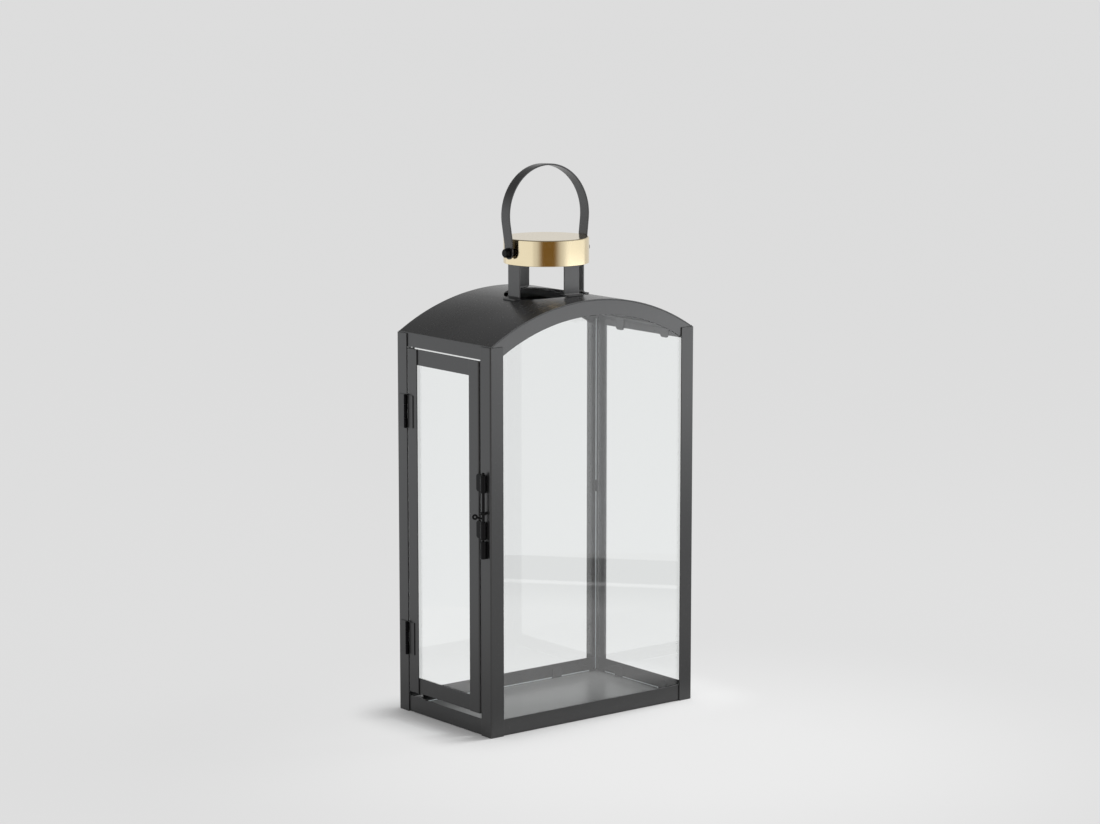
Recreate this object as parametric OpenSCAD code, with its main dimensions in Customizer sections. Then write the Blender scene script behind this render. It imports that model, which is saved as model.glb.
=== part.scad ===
// Glazed lantern with an arched roof, a hinged side door, a chimney cap and a swinging bail.
// Millimetres. X runs along the wide front, Y runs from front to back, Z is up.
// The origin is the middle of the footprint, on the surface that the lantern stands on.

/* [Body] */
// Width over the corner posts, along X
body_w = 262; // [200:1:340]
// Depth over the corner posts, along Y
body_d = 156; // [120:1:220]
// Height of the eaves above the ground
eave_h = 391.5; // [340:1:480]
// Height of the roof's crown above the eaves
arch_rise = 38.3; // [25:0.1:60]
// Thickness of the steel that the angles are folded from
sheet_t = 1.2; // [0.8:0.1:1.6]
// Outer radius of a folded corner
fold_r = 1.6; // [0.5:0.1:2]
// Thickness of the roof sheet
roof_t = 1.2; // [0.8:0.1:2]

/* [Frame] */
// Width of a corner post's two flanges
post_flange = 16.2; // [12:0.1:22]
// Height of the bottom rails
bottom_rail_h = 16.9; // [10:0.1:25]
// Depth of the bottom rails' flange under the floor
bottom_flange_d = 14; // [10:0.5:20]
// Height of the two top side rails
top_rail_h = 14.4; // [10:0.1:20]
// Depth of the top side rails' flange
top_flange_d = 13; // [8:0.5:18]
// Height of the curved band of an arch
arch_band_h = 15.1; // [10:0.1:22]
// Depth of an arch's flange under the roof
arch_flange_d = 16; // [8:0.5:25]
// How far the posts stand above the eaves
post_rise = 0.4; // [0:0.1:2]
// Thickness of the floor plate
floor_t = 1.2; // [0.8:0.1:3]
// Gap between the floor plate and the glass clips
floor_gap = 0.5; // [0.3:0.1:3]

/* [Glass] */
// Thickness of the panes
glass_t = 2; // [1.5:0.1:4]
// How far a pane reaches behind the rail above it
glass_overlap = 7; // [3:0.5:10]
// Clearance round the edges of a pane
glass_fit = 0.5; // [0.3:0.1:1]
// Width of a glass clip
clip_w = 12.5; // [6:0.5:20]
// Thickness of a glass clip
clip_t = 0.8; // [0.5:0.1:1.2]
// Height of the clips that stand on the bottom rails
clip_h = 12; // [6:0.5:16]
// How far the right pane's upper clips show below the rail
clip_drop = 2.2; // [1:0.1:6]
// Corner radius of a glass clip
clip_r = 3; // [1:0.1:3]
// Distance between the two clips along the front and back panes
clip_pitch_front = 142; // [80:1:160]
// Distance between the two clips along the right pane
clip_pitch_side = 72; // [50:1:90]
// Height of the clips on the corner posts above the middle of the walls
post_clip_up = 9; // [-80:1:80]
// How far a clip on a post or a stile reaches over the pane
side_clip_reach = 8; // [6:0.5:14]

/* [Chimney] */
// Height of the open chimney, from the roof's crown to the cap
chimney_h = 30.35; // [20:0.05:60]
// Outer radius of the cap
cap_r = 43.6; // [36:0.1:50]
// Height of the cap
cap_h = 26.3; // [24:0.1:40]
// Thickness of the cap's sheet
cap_t = 0.8; // [0.6:0.1:2]
// Radius of the cap's upper edge
cap_edge_r = 1; // [0.5:0.1:3]
// Width of a chimney leg
leg_w = 19; // [12:0.5:24]
// Thickness of a chimney leg
leg_t = 1.5; // [1:0.1:2.5]
// Clearance between the corners of the legs and the cap's wall
leg_cap_gap = 0.1; // [0.1:0.1:1]
// Clearance between the corners of the legs and the hole in the roof
leg_hole_gap = 0.5; // [0.3:0.1:4]
// Inner radius of the bend at the foot of a leg
leg_bend_r = 2; // [1:0.1:3]
// Length of a leg's foot on the roof sheet, past the edge of the hole
foot_reach = 5; // [3:0.5:15]
// Depth of the tab that joins a leg to the underside of the cap
leg_tab_d = 9; // [5:0.5:14]

/* [Bail] */
// Width of the bail's strap
bail_w = 13; // [8:0.5:18]
// Thickness of the bail's strap
bail_t = 1.6; // [1:0.1:2.5]
// Outer radius of the bail's bow
bail_r = 51.6; // [50:0.1:70]
// Height of the bail's top above its pivots
bail_rise = 87.6; // [83:0.1:110]
// Height of the straight ears above the pivots
ear_h = 9; // [8:0.5:12]
// Lean of the resting bail towards the back, in degrees
bail_rest_lean = 2; // [0:0.5:10]
// Height of the pivots above the cap's lower edge
pivot_up = 12.6; // [10:0.1:14]
// Diameter of the pivot screws
screw_d = 4; // [3:0.1:5]
// Clearance round a pivot screw
screw_fit = 0.08; // [0.05:0.01:0.1]
// Length of the spacers between the cap and the bail
spacer_l = 3.1; // [3:0.1:6]
// Diameter of the spacers
spacer_d = 7.5; // [6:0.1:9]
// End play of the bail on each side of its ears
bail_play = 0.15; // [0.1:0.05:0.3]
// Diameter of the washers
washer_d = 10.6; // [7:0.1:12]
// Thickness of the washers
washer_t = 0.8; // [0.5:0.1:1.5]
// Width of the nuts across their flats
nut_af = 8; // [7:0.1:10]
// Thickness of the nuts
nut_t = 2.2; // [2:0.1:4]
// Diameter of the screws' round heads
head_d = 8.8; // [6:0.1:10]
// Thickness of the screws' heads
head_t = 2.2; // [1.5:0.1:4]
// How far a screw's inner end stands out of its nut
screw_end = 1.2; // [0.5:0.1:3]

/* [Door] */
// Gap above the door
door_gap_top = 1.5; // [1:0.1:4]
// Gap below the door
door_gap_bottom = 4.9; // [2.5:0.1:7]
// Gap beside the door at its hinges
door_gap_hinge = 1; // [0.6:0.1:2]
// Gap beside the door at its latch
door_gap_latch = 3; // [1:0.1:4]
// Face width of the door's stiles and rails
door_frame_w = 16; // [12:0.1:22]
// Depth of the door's frame
door_frame_d = 9; // [7:0.1:12]
// Width of the tab under the door
stop_w = 20; // [6:0.5:22]
// How far the tab stands out of the bottom rail's face
stop_out = 1.6; // [1.2:0.1:6]
// Height of the tab's inner lip, which the door closes against
stop_lip_h = 9; // [6:0.5:14]
// Clearance between the lip and the closed door
stop_gap = 0.3; // [0.2:0.1:1]
// Distance of the tab's middle from the door's hinged edge
stop_inset = 18.8; // [12:0.1:60]

/* [Hinges] */
// Height of a hinge
hinge_h = 33.4; // [24:1:50]
// Distance of the upper hinge's middle from the door's upper end
hinge_upper_down = 64.4; // [30:0.1:120]
// Distance of the lower hinge's middle from the door's lower end
hinge_lower_up = 56; // [30:0.5:120]
// Height of a hinge's middle knuckle
mid_knuckle_h = 13.8; // [8:0.1:18]
// Width of the leaf on the post
post_leaf_w = 12.5; // [6:0.5:14]
// Width of the leaf on the door
door_leaf_w = 10.5; // [6:0.5:14]
// Thickness of the leaves
leaf_t = 0.9; // [0.6:0.1:1]
// Outer radius of the knuckles
knuckle_r = 2; // [1.8:0.1:3]
// Gap between two knuckles
knuckle_gap = 0.3; // [0.2:0.1:0.6]
// Radius of the hinge pins
pin_r = 1; // [0.7:0.05:1.1]
// Clearance round a hinge pin
pin_fit = 0.06; // [0.04:0.01:0.1]
// Thickness of the heads of a hinge pin
pin_head_t = 0.6; // [0.4:0.1:1.5]

/* [Latch] */
// Distance of the bolt from the front of the body
latch_inset = 7.6; // [6:0.1:11]
// Radius of the bolt
bolt_r = 1.5; // [1:0.1:1.8]
// Clearance round the bolt
bolt_fit = 0.08; // [0.05:0.01:0.1]
// Outer radius of the rolled sleeves
sleeve_r = 2.9; // [2.6:0.1:4]
// Height of a sleeve and of the keeper
sleeve_h = 17.4; // [10:0.1:24]
// Gap between the sleeves and the face of the body
sleeve_lift = 0.4; // [0.3:0.1:1]
// Thickness of a sleeve's wing
wing_t = 1; // [0.6:0.1:1.2]
// How far a sleeve's wing lies on the door's stile
wing_lap = 2.2; // [1.5:0.1:6]
// How far the keeper's wing reaches from the bolt
keeper_reach = 4.6; // [4:0.1:8]
// Chamfer on the corners of a wing
wing_chamfer = 1.8; // [0.5:0.1:3]
// Distance of the keeper's lower end below the middle of the door
keeper_down = 17.6; // [0:0.1:90]
// Gap between the keeper and the lower sleeve
keeper_gap = 1.6; // [1:0.1:4]
// Gap between the two sleeves on the door
sleeve_pitch_gap = 29.6; // [26:0.1:50]
// Gap between the keeper and the tip of the lifted bolt
bolt_tip_gap = 0.6; // [0.4:0.1:1]
// Travel of the bolt down into the keeper
bolt_throw = 2.4; // [2:0.1:6]
// How far the bolt stands out above the upper sleeve
bolt_top = 3; // [1:0.1:10]
// Radius of the wire of the bolt's eye
eye_wire_r = 1; // [0.7:0.05:1.3]
// Radius of the eye's ring, to the middle of its wire
eye_r = 1.95; // [1.6:0.05:4]
// Distance of the eye from the bolt
eye_out = 8.5; // [7:0.1:14]
// Upward tilt of the arm that carries the eye
eye_tilt = 12; // [0:1:35]
// Height of the collar above the foot of that arm
collar_up = 5.4; // [4:0.1:10]
// Radius of the collar on the bolt
collar_r = 3; // [2.2:0.1:4]
// Height of the collar on the bolt
collar_h = 2.5; // [1:0.1:4]

/* [Hidden] */

BLACK = [0.17, 0.17, 0.18];
DARK = [0.09, 0.09, 0.10];
BRASS = [0.80, 0.64, 0.36];
PANE = [0.80, 0.88, 0.86, 0.35];
GREY = [0.30, 0.30, 0.31];

ROUND = 48;
WIDE_ROUND = 240;
PAST = 1;

half_w = body_w / 2;
half_d = body_d / 2;

// The roof is part of a cylinder along Y, through both eaves and the crown.
roof_r = (half_w * half_w + arch_rise * arch_rise) / (2 * arch_rise);
roof_z = eave_h + arch_rise - roof_r;
roof_in_r = roof_r - roof_t;
band_in_r = roof_in_r - arch_band_h;
function arc_z(r, x) = roof_z + sqrt(r * r - x * x);

// The rails stand behind the posts' flanges, and the panes behind the rails.
rail_x = half_w - sheet_t;
rail_y = half_d - sheet_t;
pane_x = rail_x - sheet_t;
pane_y = rail_y - sheet_t;
clip_x = pane_x - glass_t;
clip_y = pane_y - glass_t;
post_h = eave_h + post_rise;
top_rail_z1 = arc_z(roof_r, pane_x);
top_rail_z0 = top_rail_z1 - top_rail_h;
top_flange_z1 = arc_z(roof_in_r, pane_x);
side_pane_y = clip_y - clip_t - glass_fit;
pane_arc_r = band_in_r + glass_overlap;

// The chimney's legs stand inside the cap, and the hole in the roof clears them.
cap_z0 = eave_h + arch_rise + chimney_h;
cap_z1 = cap_z0 + cap_h;
leg_corner_r = cap_r - cap_t - leg_cap_gap;
leg_face = sqrt(leg_corner_r * leg_corner_r - leg_w * leg_w / 4);
roof_hole_r = leg_corner_r + leg_hole_gap;
foot_end = roof_hole_r + foot_reach;

// Places along a pivot screw, outward from the middle of the lantern.
pivot_z = cap_z0 + pivot_up;
ear_in = cap_r + spacer_l + bail_play;
ear_out = ear_in + bail_t;
washer_in = ear_out + bail_play;
lock_nut_in = washer_in + washer_t;
head_in = lock_nut_in + nut_t;
head_out = head_in + head_t;
cap_nut_in = leg_face - leg_t - nut_t;
screw_r = screw_d / 2;
screw_bore_r = screw_r + screw_fit;

// The bail's legs run straight from the ears to a tangent on its bow.
bow_z = pivot_z + bail_rise - bail_r;
ear_z1 = pivot_z + ear_h;
bow_reach = norm([ear_out, bow_z - ear_z1]);
bail_lean = atan2(bow_z - ear_z1, ear_out) - acos(bail_r / bow_reach);

// The door hangs between the two left posts and between the left rails.
door_y0 = -half_d + post_flange + door_gap_latch;
door_y1 = half_d - post_flange - door_gap_hinge;
door_z0 = bottom_rail_h + door_gap_bottom;
door_z1 = top_rail_z0 - door_gap_top;
door_rail_l = door_y1 - door_y0 - 2 * sheet_t;
door_mid_y = (door_y0 + door_y1) / 2;

hinge_upper_z = door_z1 - hinge_upper_down;
hinge_lower_z = door_z0 + hinge_lower_up;
hinge_x = -half_w - knuckle_r;
knuckle_room = knuckle_r + knuckle_gap;
hinge_y = door_y1 + door_gap_hinge / 2;
end_knuckle_h = (hinge_h - mid_knuckle_h) / 2 - knuckle_gap;
knuckle_z = [0, end_knuckle_h + knuckle_gap, hinge_h - end_knuckle_h];
knuckle_hs = [end_knuckle_h, mid_knuckle_h, end_knuckle_h];

latch_x = -half_w - sleeve_lift - sleeve_r;
latch_y = -half_d + latch_inset;
keeper_z = (door_z0 + door_z1) / 2 - keeper_down;
sleeve_lower_z = keeper_z + sleeve_h + keeper_gap;
sleeve_upper_z = sleeve_lower_z + sleeve_h + sleeve_pitch_gap;
bolt_z0 = keeper_z + sleeve_h + bolt_tip_gap;
bolt_z1 = sleeve_upper_z + sleeve_h + bolt_top;
eye_z = sleeve_lower_z + sleeve_h + bolt_throw + stop_gap + eye_wire_r;
collar_z = eye_z + collar_up;
stile_at = door_y0 - latch_y;

// Outline of an angle with its outer corner at the origin and legs along +X and +Y.
module angle_outline(leg_x, leg_y, t) {
    difference() {
        union() {
            square([leg_x, t]);
            square([t, leg_y]);
        }
        difference() {
            square([fold_r, fold_r]);
            translate([fold_r, fold_r])
                circle(fold_r, $fn = ROUND);
        }
    }
}

// Outline of a plate of width w and height h, with its lower edge on the X axis and round upper corners.
module tab_outline(w, h, r) {
    translate([-w / 2, 0])
        square([w, h - r]);
    translate([r - w / 2, 0])
        square([w - 2 * r, h]);
    for (side = [-1, 1])
        translate([side * (w / 2 - r), h - r])
            circle(r, $fn = ROUND);
}

// Extrudes an outline of the XZ plane along Y, from y0 to y1.
module along_y(y0, y1) {
    translate([0, y1, 0])
        rotate([90, 0, 0])
            linear_extrude(y1 - y0)
                children();
}

// Extrudes an outline of the YZ plane along X, from x0 to x1.
module along_x(x0, x1) {
    translate([x0, 0, 0])
        rotate([90, 0, 90])
            linear_extrude(x1 - x0)
                children();
}

// Round rod along X, from x0 to x1.
module rod_x(r, x0, x1, sides = ROUND) {
    translate([x0, 0, 0])
        rotate([0, 90, 0])
            cylinder(r = r, h = x1 - x0, $fn = sides);
}

// Corner post: a steel angle as tall as the walls. turn carries it round to its corner.
module corner_post(x, y, turn) {
    color(BLACK)
        translate([x, y, 0])
            rotate([0, 0, turn])
                linear_extrude(post_h)
                    angle_outline(post_flange, post_flange, sheet_t);
}

// Bottom rail: an angle with its flange under the floor, mitred at both ends.
module bottom_rail(length, distance, turn) {
    color(BLACK)
        rotate([0, 0, turn])
            translate([0, -distance, 0])
                intersection() {
                    along_x(-length / 2, length / 2)
                        angle_outline(bottom_flange_d, bottom_rail_h, sheet_t);
                    linear_extrude(bottom_rail_h)
                        polygon([[-length / 2, 0], [length / 2, 0],
                                 [length / 2 - bottom_flange_d, bottom_flange_d],
                                 [bottom_flange_d - length / 2, bottom_flange_d]]);
                }
}

// Top side rail at the eave: the roof sheet butts against its face and lies on its flange, which is cut
// short of the front and back panes.
module top_rail(turn) {
    flange_l = 2 * side_pane_y;
    color(BLACK)
        rotate([0, 0, turn])
            translate([0, -rail_x, 0])
                union() {
                    translate([-rail_y, 0, top_rail_z0])
                        cube([2 * rail_y, sheet_t, top_rail_h]);
                    translate([-flange_l / 2, 0, top_flange_z1 - sheet_t])
                        cube([flange_l, top_flange_d, sheet_t]);
                }
}

// Outline of a curved strip between two radii about the roof's axis, out to half_x on each side.
module roof_arc_outline(r_out, r_in, half_x) {
    intersection() {
        translate([0, roof_z])
            difference() {
                circle(r_out, $fn = WIDE_ROUND);
                circle(r_in, $fn = WIDE_ROUND);
            }
        translate([-half_x, arc_z(r_in, half_x) - PAST])
            square([2 * half_x, roof_r]);
    }
}

// Arch: a rolled angle, with its band in the wall and its flange under the roof sheet.
module arch(turn) {
    color(BLACK)
        rotate([0, 0, turn])
            union() {
                along_y(-rail_y, -pane_y)
                    roof_arc_outline(roof_in_r, band_in_r, pane_x);
                along_y(-pane_y - sheet_t / 2, -rail_y + arch_flange_d)
                    roof_arc_outline(roof_in_r, roof_in_r - sheet_t, pane_x - fold_r);
            }
}

// Roof: one sheet rolled between the two top rails, with a round hole under the chimney.
module roof_sheet() {
    color(BLACK)
        difference() {
            along_y(-rail_y, rail_y)
                roof_arc_outline(roof_r, roof_in_r, pane_x);
            translate([0, 0, eave_h])
                cylinder(r = roof_hole_r, h = arch_rise + PAST, $fn = WIDE_ROUND);
        }
}

// Floor: a loose flat plate on the flanges of the bottom rails.
module floor_plate() {
    half_x = clip_x - clip_t - floor_gap;
    half_y = clip_y - clip_t - floor_gap;
    color(GREY)
        translate([-half_x, -half_y, sheet_t])
            cube([2 * half_x, 2 * half_y, floor_t]);
}

// Front or back pane, with its top cut to the arch.
module arched_pane(turn) {
    half_x = pane_x - glass_fit;
    shoulder_z = arc_z(pane_arc_r, half_x);
    color(PANE)
        rotate([0, 0, turn])
            along_y(-pane_y, -clip_y)
                difference() {
                    translate([-half_x, sheet_t])
                        square([2 * half_x, roof_z + pane_arc_r - sheet_t]);
                    difference() {
                        translate([-half_x - PAST, shoulder_z])
                            square([2 * half_x + 2 * PAST, roof_r]);
                        translate([0, roof_z])
                            circle(pane_arc_r, $fn = WIDE_ROUND);
                    }
                }
}

// Right pane, with square corners.
module glass_right() {
    color(PANE)
        translate([clip_x, -side_pane_y, sheet_t])
            cube([glass_t, 2 * side_pane_y, top_rail_z0 + glass_overlap - sheet_t]);
}

// Clips of the front or back pane: two on the bottom rail and one on each post.
module arched_pane_clips(turn) {
    color(BLACK)
        rotate([0, 0, turn])
            along_y(-clip_y, clip_t - clip_y)
                for (side = [-1, 1]) {
                    translate([side * clip_pitch_front / 2, sheet_t])
                        tab_outline(clip_w, clip_h, clip_r);
                    translate([side * rail_x, eave_h / 2 + post_clip_up])
                        rotate(side * 90)
                            tab_outline(clip_w, side_clip_reach, clip_r);
                }
}

// Clips of the right pane: two on the bottom rail and two under the top rail.
module glass_clips_right() {
    drop = top_flange_z1 - sheet_t - top_rail_z0 + clip_drop;
    color(BLACK)
        along_x(clip_x - clip_t, clip_x)
            for (side = [-1, 1]) {
                at = side * clip_pitch_side / 2;
                translate([at, sheet_t])
                    tab_outline(clip_w, clip_h, clip_r);
                translate([at, top_rail_z0 - clip_drop + drop])
                    mirror([0, 1])
                        tab_outline(clip_w, drop, clip_r);
            }
}

// Area on the roof's side of a leg's bend: a corner rounded to radius r about the origin. slope is the roof's
// fall.
module leg_bend_area(r, slope, width, height) {
    foot_start = r * [-sin(slope), -cos(slope)];
    corner = [-r, -r * (1 - sin(slope)) / cos(slope)];
    difference() {
        polygon([corner, [-r, height], [width, height],
                 [width, foot_start[1] - (width - foot_start[0]) * tan(slope)]]);
        difference() {
            polygon([corner, [-r, 0], [0, 0], foot_start]);
            circle(r, $fn = ROUND);
        }
    }
}

// Chimney leg, on the side of the X axis: a strap with its foot on the roof at the point touch, where the roof
// falls outward by slope, and a tab under the top of the cap.
module chimney_leg(slope, touch) {
    bend_x = leg_face + leg_bend_r;
    bend_z = touch[1] + (touch[0] - bend_x) * tan(slope) + (leg_bend_r + leg_t) / cos(slope);
    top_z = cap_z1 - cap_t;
    width = foot_end - bend_x;
    union() {
        translate([leg_face - leg_t - leg_tab_d, -leg_w / 2, top_z - leg_t])
            cube([leg_tab_d + leg_t, leg_w, leg_t]);
        along_y(-leg_w / 2, leg_w / 2)
            translate([bend_x, bend_z])
                difference() {
                    leg_bend_area(leg_bend_r + leg_t, slope, width, top_z - bend_z);
                    leg_bend_area(leg_bend_r, slope, width + PAST, top_z - bend_z + PAST);
                }
    }
}

// Chimney leg at the front or back, on the crown of the roof.
module crown_leg(turn) {
    color(BLACK)
        rotate([0, 0, turn])
            chimney_leg(0, [0, roof_z + roof_r]);
}

// Chimney leg at the left or right, where the roof falls away. A pivot screw passes through it.
module side_leg(turn) {
    touch_x = roof_hole_r + foot_reach / 2;
    color(BLACK)
        rotate([0, 0, turn])
            difference() {
                chimney_leg(asin(touch_x / roof_r), [touch_x, arc_z(roof_r, touch_x)]);
                translate([0, 0, pivot_z])
                    rod_x(screw_bore_r, leg_face - leg_t - PAST, leg_face + PAST);
            }
}

// Cap: a shallow cup turned upside down, bored for the two pivot screws.
module cap() {
    in_r = cap_r - cap_t;
    color(BRASS)
        difference() {
            translate([0, 0, cap_z0])
                rotate_extrude($fn = WIDE_ROUND)
                    difference() {
                        union() {
                            square([cap_r, cap_h - cap_edge_r]);
                            square([cap_r - cap_edge_r, cap_h]);
                            translate([cap_r - cap_edge_r, cap_h - cap_edge_r])
                                circle(cap_edge_r, $fn = ROUND);
                        }
                        translate([-PAST, -PAST])
                            square([in_r + PAST, cap_h - cap_t + PAST]);
                    }
            translate([0, 0, pivot_z])
                rod_x(screw_bore_r, -cap_r - PAST, cap_r + PAST);
        }
}

// A point of the XZ plane as it lies about the bow's middle, turned by the lean of the bail's right side.
function in_side(p) = [p[0] * cos(bail_lean) - (p[1] - bow_z) * sin(bail_lean),
                       p[0] * sin(bail_lean) + (p[1] - bow_z) * cos(bail_lean)];

// Outline of the bail's bow about its own middle: a ring without its lower part.
module bow_outline() {
    difference() {
        circle(bail_r, $fn = WIDE_ROUND);
        circle(bail_r - bail_t, $fn = WIDE_ROUND);
        for (side = [0, 1])
            mirror([side, 0])
                rotate(-bail_lean)
                    translate([0, -2 * bail_r])
                        square(2 * bail_r);
    }
}

// Outline of the bail's right side with its ear, about the bow's middle. Its end is flush with the bow's.
module bail_side_outline() {
    rotate(-bail_lean)
        polygon([[bail_r, 0], [bail_r - bail_t, 0],
                 in_side([ear_in, ear_z1 + bail_t * tan(bail_lean / 2)]), in_side([ear_in, cap_z0]),
                 in_side([ear_out, cap_z0]), in_side([ear_out, ear_z1])]);
}

// Bail: a flat strap bent to a horseshoe, with round ends bored for the pivot screws. It is worked out about
// its pivots and leans by its resting angle.
module bail_strap() {
    color(BLACK)
        translate([0, 0, pivot_z])
            rotate([-bail_rest_lean, 0, 0])
                difference() {
                    intersection() {
                        translate([0, 0, bow_z - pivot_z])
                            union() {
                                along_y(-bail_w / 2, bail_w / 2)
                                    bow_outline();
                                for (side = [0, 1])
                                    mirror([side, 0, 0])
                                        along_y(-bail_w / 2, bail_w / 2)
                                            bail_side_outline();
                            }
                        union() {
                            translate([-bail_r - PAST, -bail_w / 2 - PAST, 0])
                                cube([2 * bail_r + 2 * PAST, bail_w + 2 * PAST, bail_rise + PAST]);
                            rod_x(bail_w / 2, -bail_r - PAST, bail_r + PAST);
                        }
                    }
                    rod_x(screw_bore_r, -bail_r - PAST, bail_r + PAST);
                }
}

// Puts its children on both pivots, with the X axis pointing outward.
module at_pivots() {
    for (turn = [0, 180])
        translate([0, 0, pivot_z])
            rotate([0, 0, turn])
                children();
}

// Flat ring along X, bored for a pivot screw.
module screw_ring(r, x0, x1, sides = ROUND) {
    difference() {
        rod_x(r, x0, x1, sides);
        rod_x(screw_bore_r, x0 - PAST, x1 + PAST);
    }
}

// Two screws: each holds the cap to a leg and carries one ear of the bail.
module pivot_screws() {
    rim = head_t / 3;
    color(DARK)
        at_pivots()
            rotate([0, 90, 0])
                rotate_extrude($fn = ROUND)
                    polygon([[0, cap_nut_in - screw_end], [screw_r, cap_nut_in - screw_end],
                             [screw_r, head_in], [head_d / 2, head_in], [head_d / 2, head_out - rim],
                             [head_d / 2 - rim, head_out], [0, head_out]]);
}

// Two hexagonal nuts between the screw heads and the washers.
module pivot_lock_nuts() {
    color(DARK)
        at_pivots()
            screw_ring(nut_af / sqrt(3), lock_nut_in, head_in, 6);
}

// Two washers on the outer sides of the bail's ears.
module pivot_washers() {
    color(DARK)
        at_pivots()
            screw_ring(washer_d / 2, washer_in, lock_nut_in);
}

// Two spacers that keep the bail's ears off the cap.
module pivot_spacers() {
    color(DARK)
        at_pivots()
            screw_ring(spacer_d / 2, cap_r, cap_r + spacer_l);
}

// Two nuts inside the cap, on the inner sides of the legs.
module cap_nuts() {
    color(DARK)
        at_pivots()
            screw_ring(nut_af / sqrt(3), cap_nut_in, leg_face - leg_t, 6);
}

// Tab on the left bottom rail: its outer end shows under the door, and the door closes against its lip.
module door_stop() {
    lip_x = -rail_x + door_frame_d + stop_gap;
    color(BLACK)
        translate([0, door_y1 - stop_inset - stop_w / 2, bottom_rail_h])
            union() {
                translate([-rail_x - stop_out, 0, 0])
                    cube([lip_x + sheet_t + rail_x + stop_out, stop_w, sheet_t]);
                translate([lip_x, 0, 0])
                    cube([sheet_t, stop_w, stop_lip_h]);
            }
}

// Upright of the door's frame: an angle with its wide leg in the door's face.
module door_stile_hinge() {
    color(BLACK)
        translate([-half_w, door_y1, door_z0])
            rotate([0, 0, 270])
                linear_extrude(door_z1 - door_z0)
                    angle_outline(door_frame_w, door_frame_d, sheet_t);
}

module door_stile_latch() {
    color(BLACK)
        translate([-half_w, door_y0, door_z0])
            linear_extrude(door_z1 - door_z0)
                angle_outline(door_frame_d, door_frame_w, sheet_t);
}

// Upper rail of the door's frame: a flat bar behind the stiles' faces, between their inner legs.
module door_rail_top() {
    color(BLACK)
        translate([-rail_x, door_mid_y - door_rail_l / 2, door_z1 - door_frame_w])
            cube([sheet_t, door_rail_l, door_frame_w]);
}

// Lower rail of the door's frame: an angle that carries the pane.
module door_rail_bottom() {
    color(BLACK)
        along_y(door_mid_y - door_rail_l / 2, door_mid_y + door_rail_l / 2)
            translate([-rail_x, door_z0])
                union() {
                    square([sheet_t, door_frame_w]);
                    square([door_frame_d, sheet_t]);
                }
}

// Pane of the door, standing on the flange of its lower rail.
module door_glass() {
    pane_l = door_rail_l - 2 * glass_fit;
    color(PANE)
        translate([-pane_x, door_mid_y - pane_l / 2, door_z0 + sheet_t])
            cube([glass_t, pane_l, door_z1 - door_z0 - 2 * sheet_t - glass_fit]);
}

// Four clips that reach from the stiles over the door's pane.
module door_glass_clips() {
    color(BLACK)
        along_x(-clip_x, clip_t - clip_x)
            for (side = [-1, 1], level = [0.2, 0.8])
                translate([door_mid_y + side * door_rail_l / 2, door_z0 + level * (door_z1 - door_z0)])
                    rotate(side * 90)
                        tab_outline(clip_w, side_clip_reach, clip_r);
}

// Leaf of a hinge with its knuckles. side is 1 on the post and -1 on the door, and own lists its knuckles.
module hinge_leaf(mid_z, side, leaf_w, own) {
    color(DARK)
        translate([hinge_x, hinge_y, mid_z - hinge_h / 2])
            difference() {
                union() {
                    translate([knuckle_r - leaf_t, side > 0 ? 0 : -leaf_w, 0])
                        cube([leaf_t, leaf_w, hinge_h]);
                    for (i = own)
                        translate([0, 0, knuckle_z[i]])
                            cylinder(r = knuckle_r, h = knuckle_hs[i], $fn = ROUND);
                }
                for (i = [0:2])
                    if (len(search(i, own)) == 0)
                        translate([-knuckle_room, -knuckle_room, knuckle_z[i] - knuckle_gap])
                            cube([2 * knuckle_room, 2 * knuckle_room, knuckle_hs[i] + 2 * knuckle_gap]);
                translate([0, 0, -PAST])
                    cylinder(r = pin_r + pin_fit, h = hinge_h + 2 * PAST, $fn = ROUND);
            }
}

// Pin of a hinge, with a low head at each end.
module hinge_pin(mid_z) {
    color(DARK)
        translate([hinge_x, hinge_y, mid_z - hinge_h / 2])
            union() {
                translate([0, 0, -pin_head_t])
                    cylinder(r = pin_r, h = hinge_h + 2 * pin_head_t, $fn = ROUND);
                for (z = [-pin_head_t, hinge_h])
                    translate([0, 0, z])
                        cylinder(r = (pin_r + knuckle_r) / 2, h = pin_head_t, $fn = ROUND);
            }
}

// Rolled sleeve for the bolt, with a flat wing. reach is the wing's length from the bolt, and pad is where
// it comes down on the steel behind it. side is 1 for a wing towards +Y.
module rolled_sleeve(z, side, reach, pad) {
    color(DARK)
        translate([latch_x, latch_y, z])
            intersection() {
                linear_extrude(sleeve_h)
                    difference() {
                        union() {
                            circle(sleeve_r, $fn = ROUND);
                            translate([sleeve_r - wing_t, side > 0 ? 0 : -reach])
                                square([wing_t, reach]);
                            translate([sleeve_r - wing_t, side > 0 ? pad : -reach])
                                square([wing_t + sleeve_lift, reach - pad]);
                        }
                        circle(bolt_r + bolt_fit, $fn = ROUND);
                    }
                along_x(-sleeve_r - PAST, sleeve_r + sleeve_lift + PAST)
                    polygon([[-side * (sleeve_r + PAST), 0],
                             [side * (reach - wing_chamfer), 0],
                             [side * reach, wing_chamfer],
                             [side * reach, sleeve_h - wing_chamfer],
                             [side * (reach - wing_chamfer), sleeve_h],
                             [-side * (sleeve_r + PAST), sleeve_h]]);
            }
}

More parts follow.
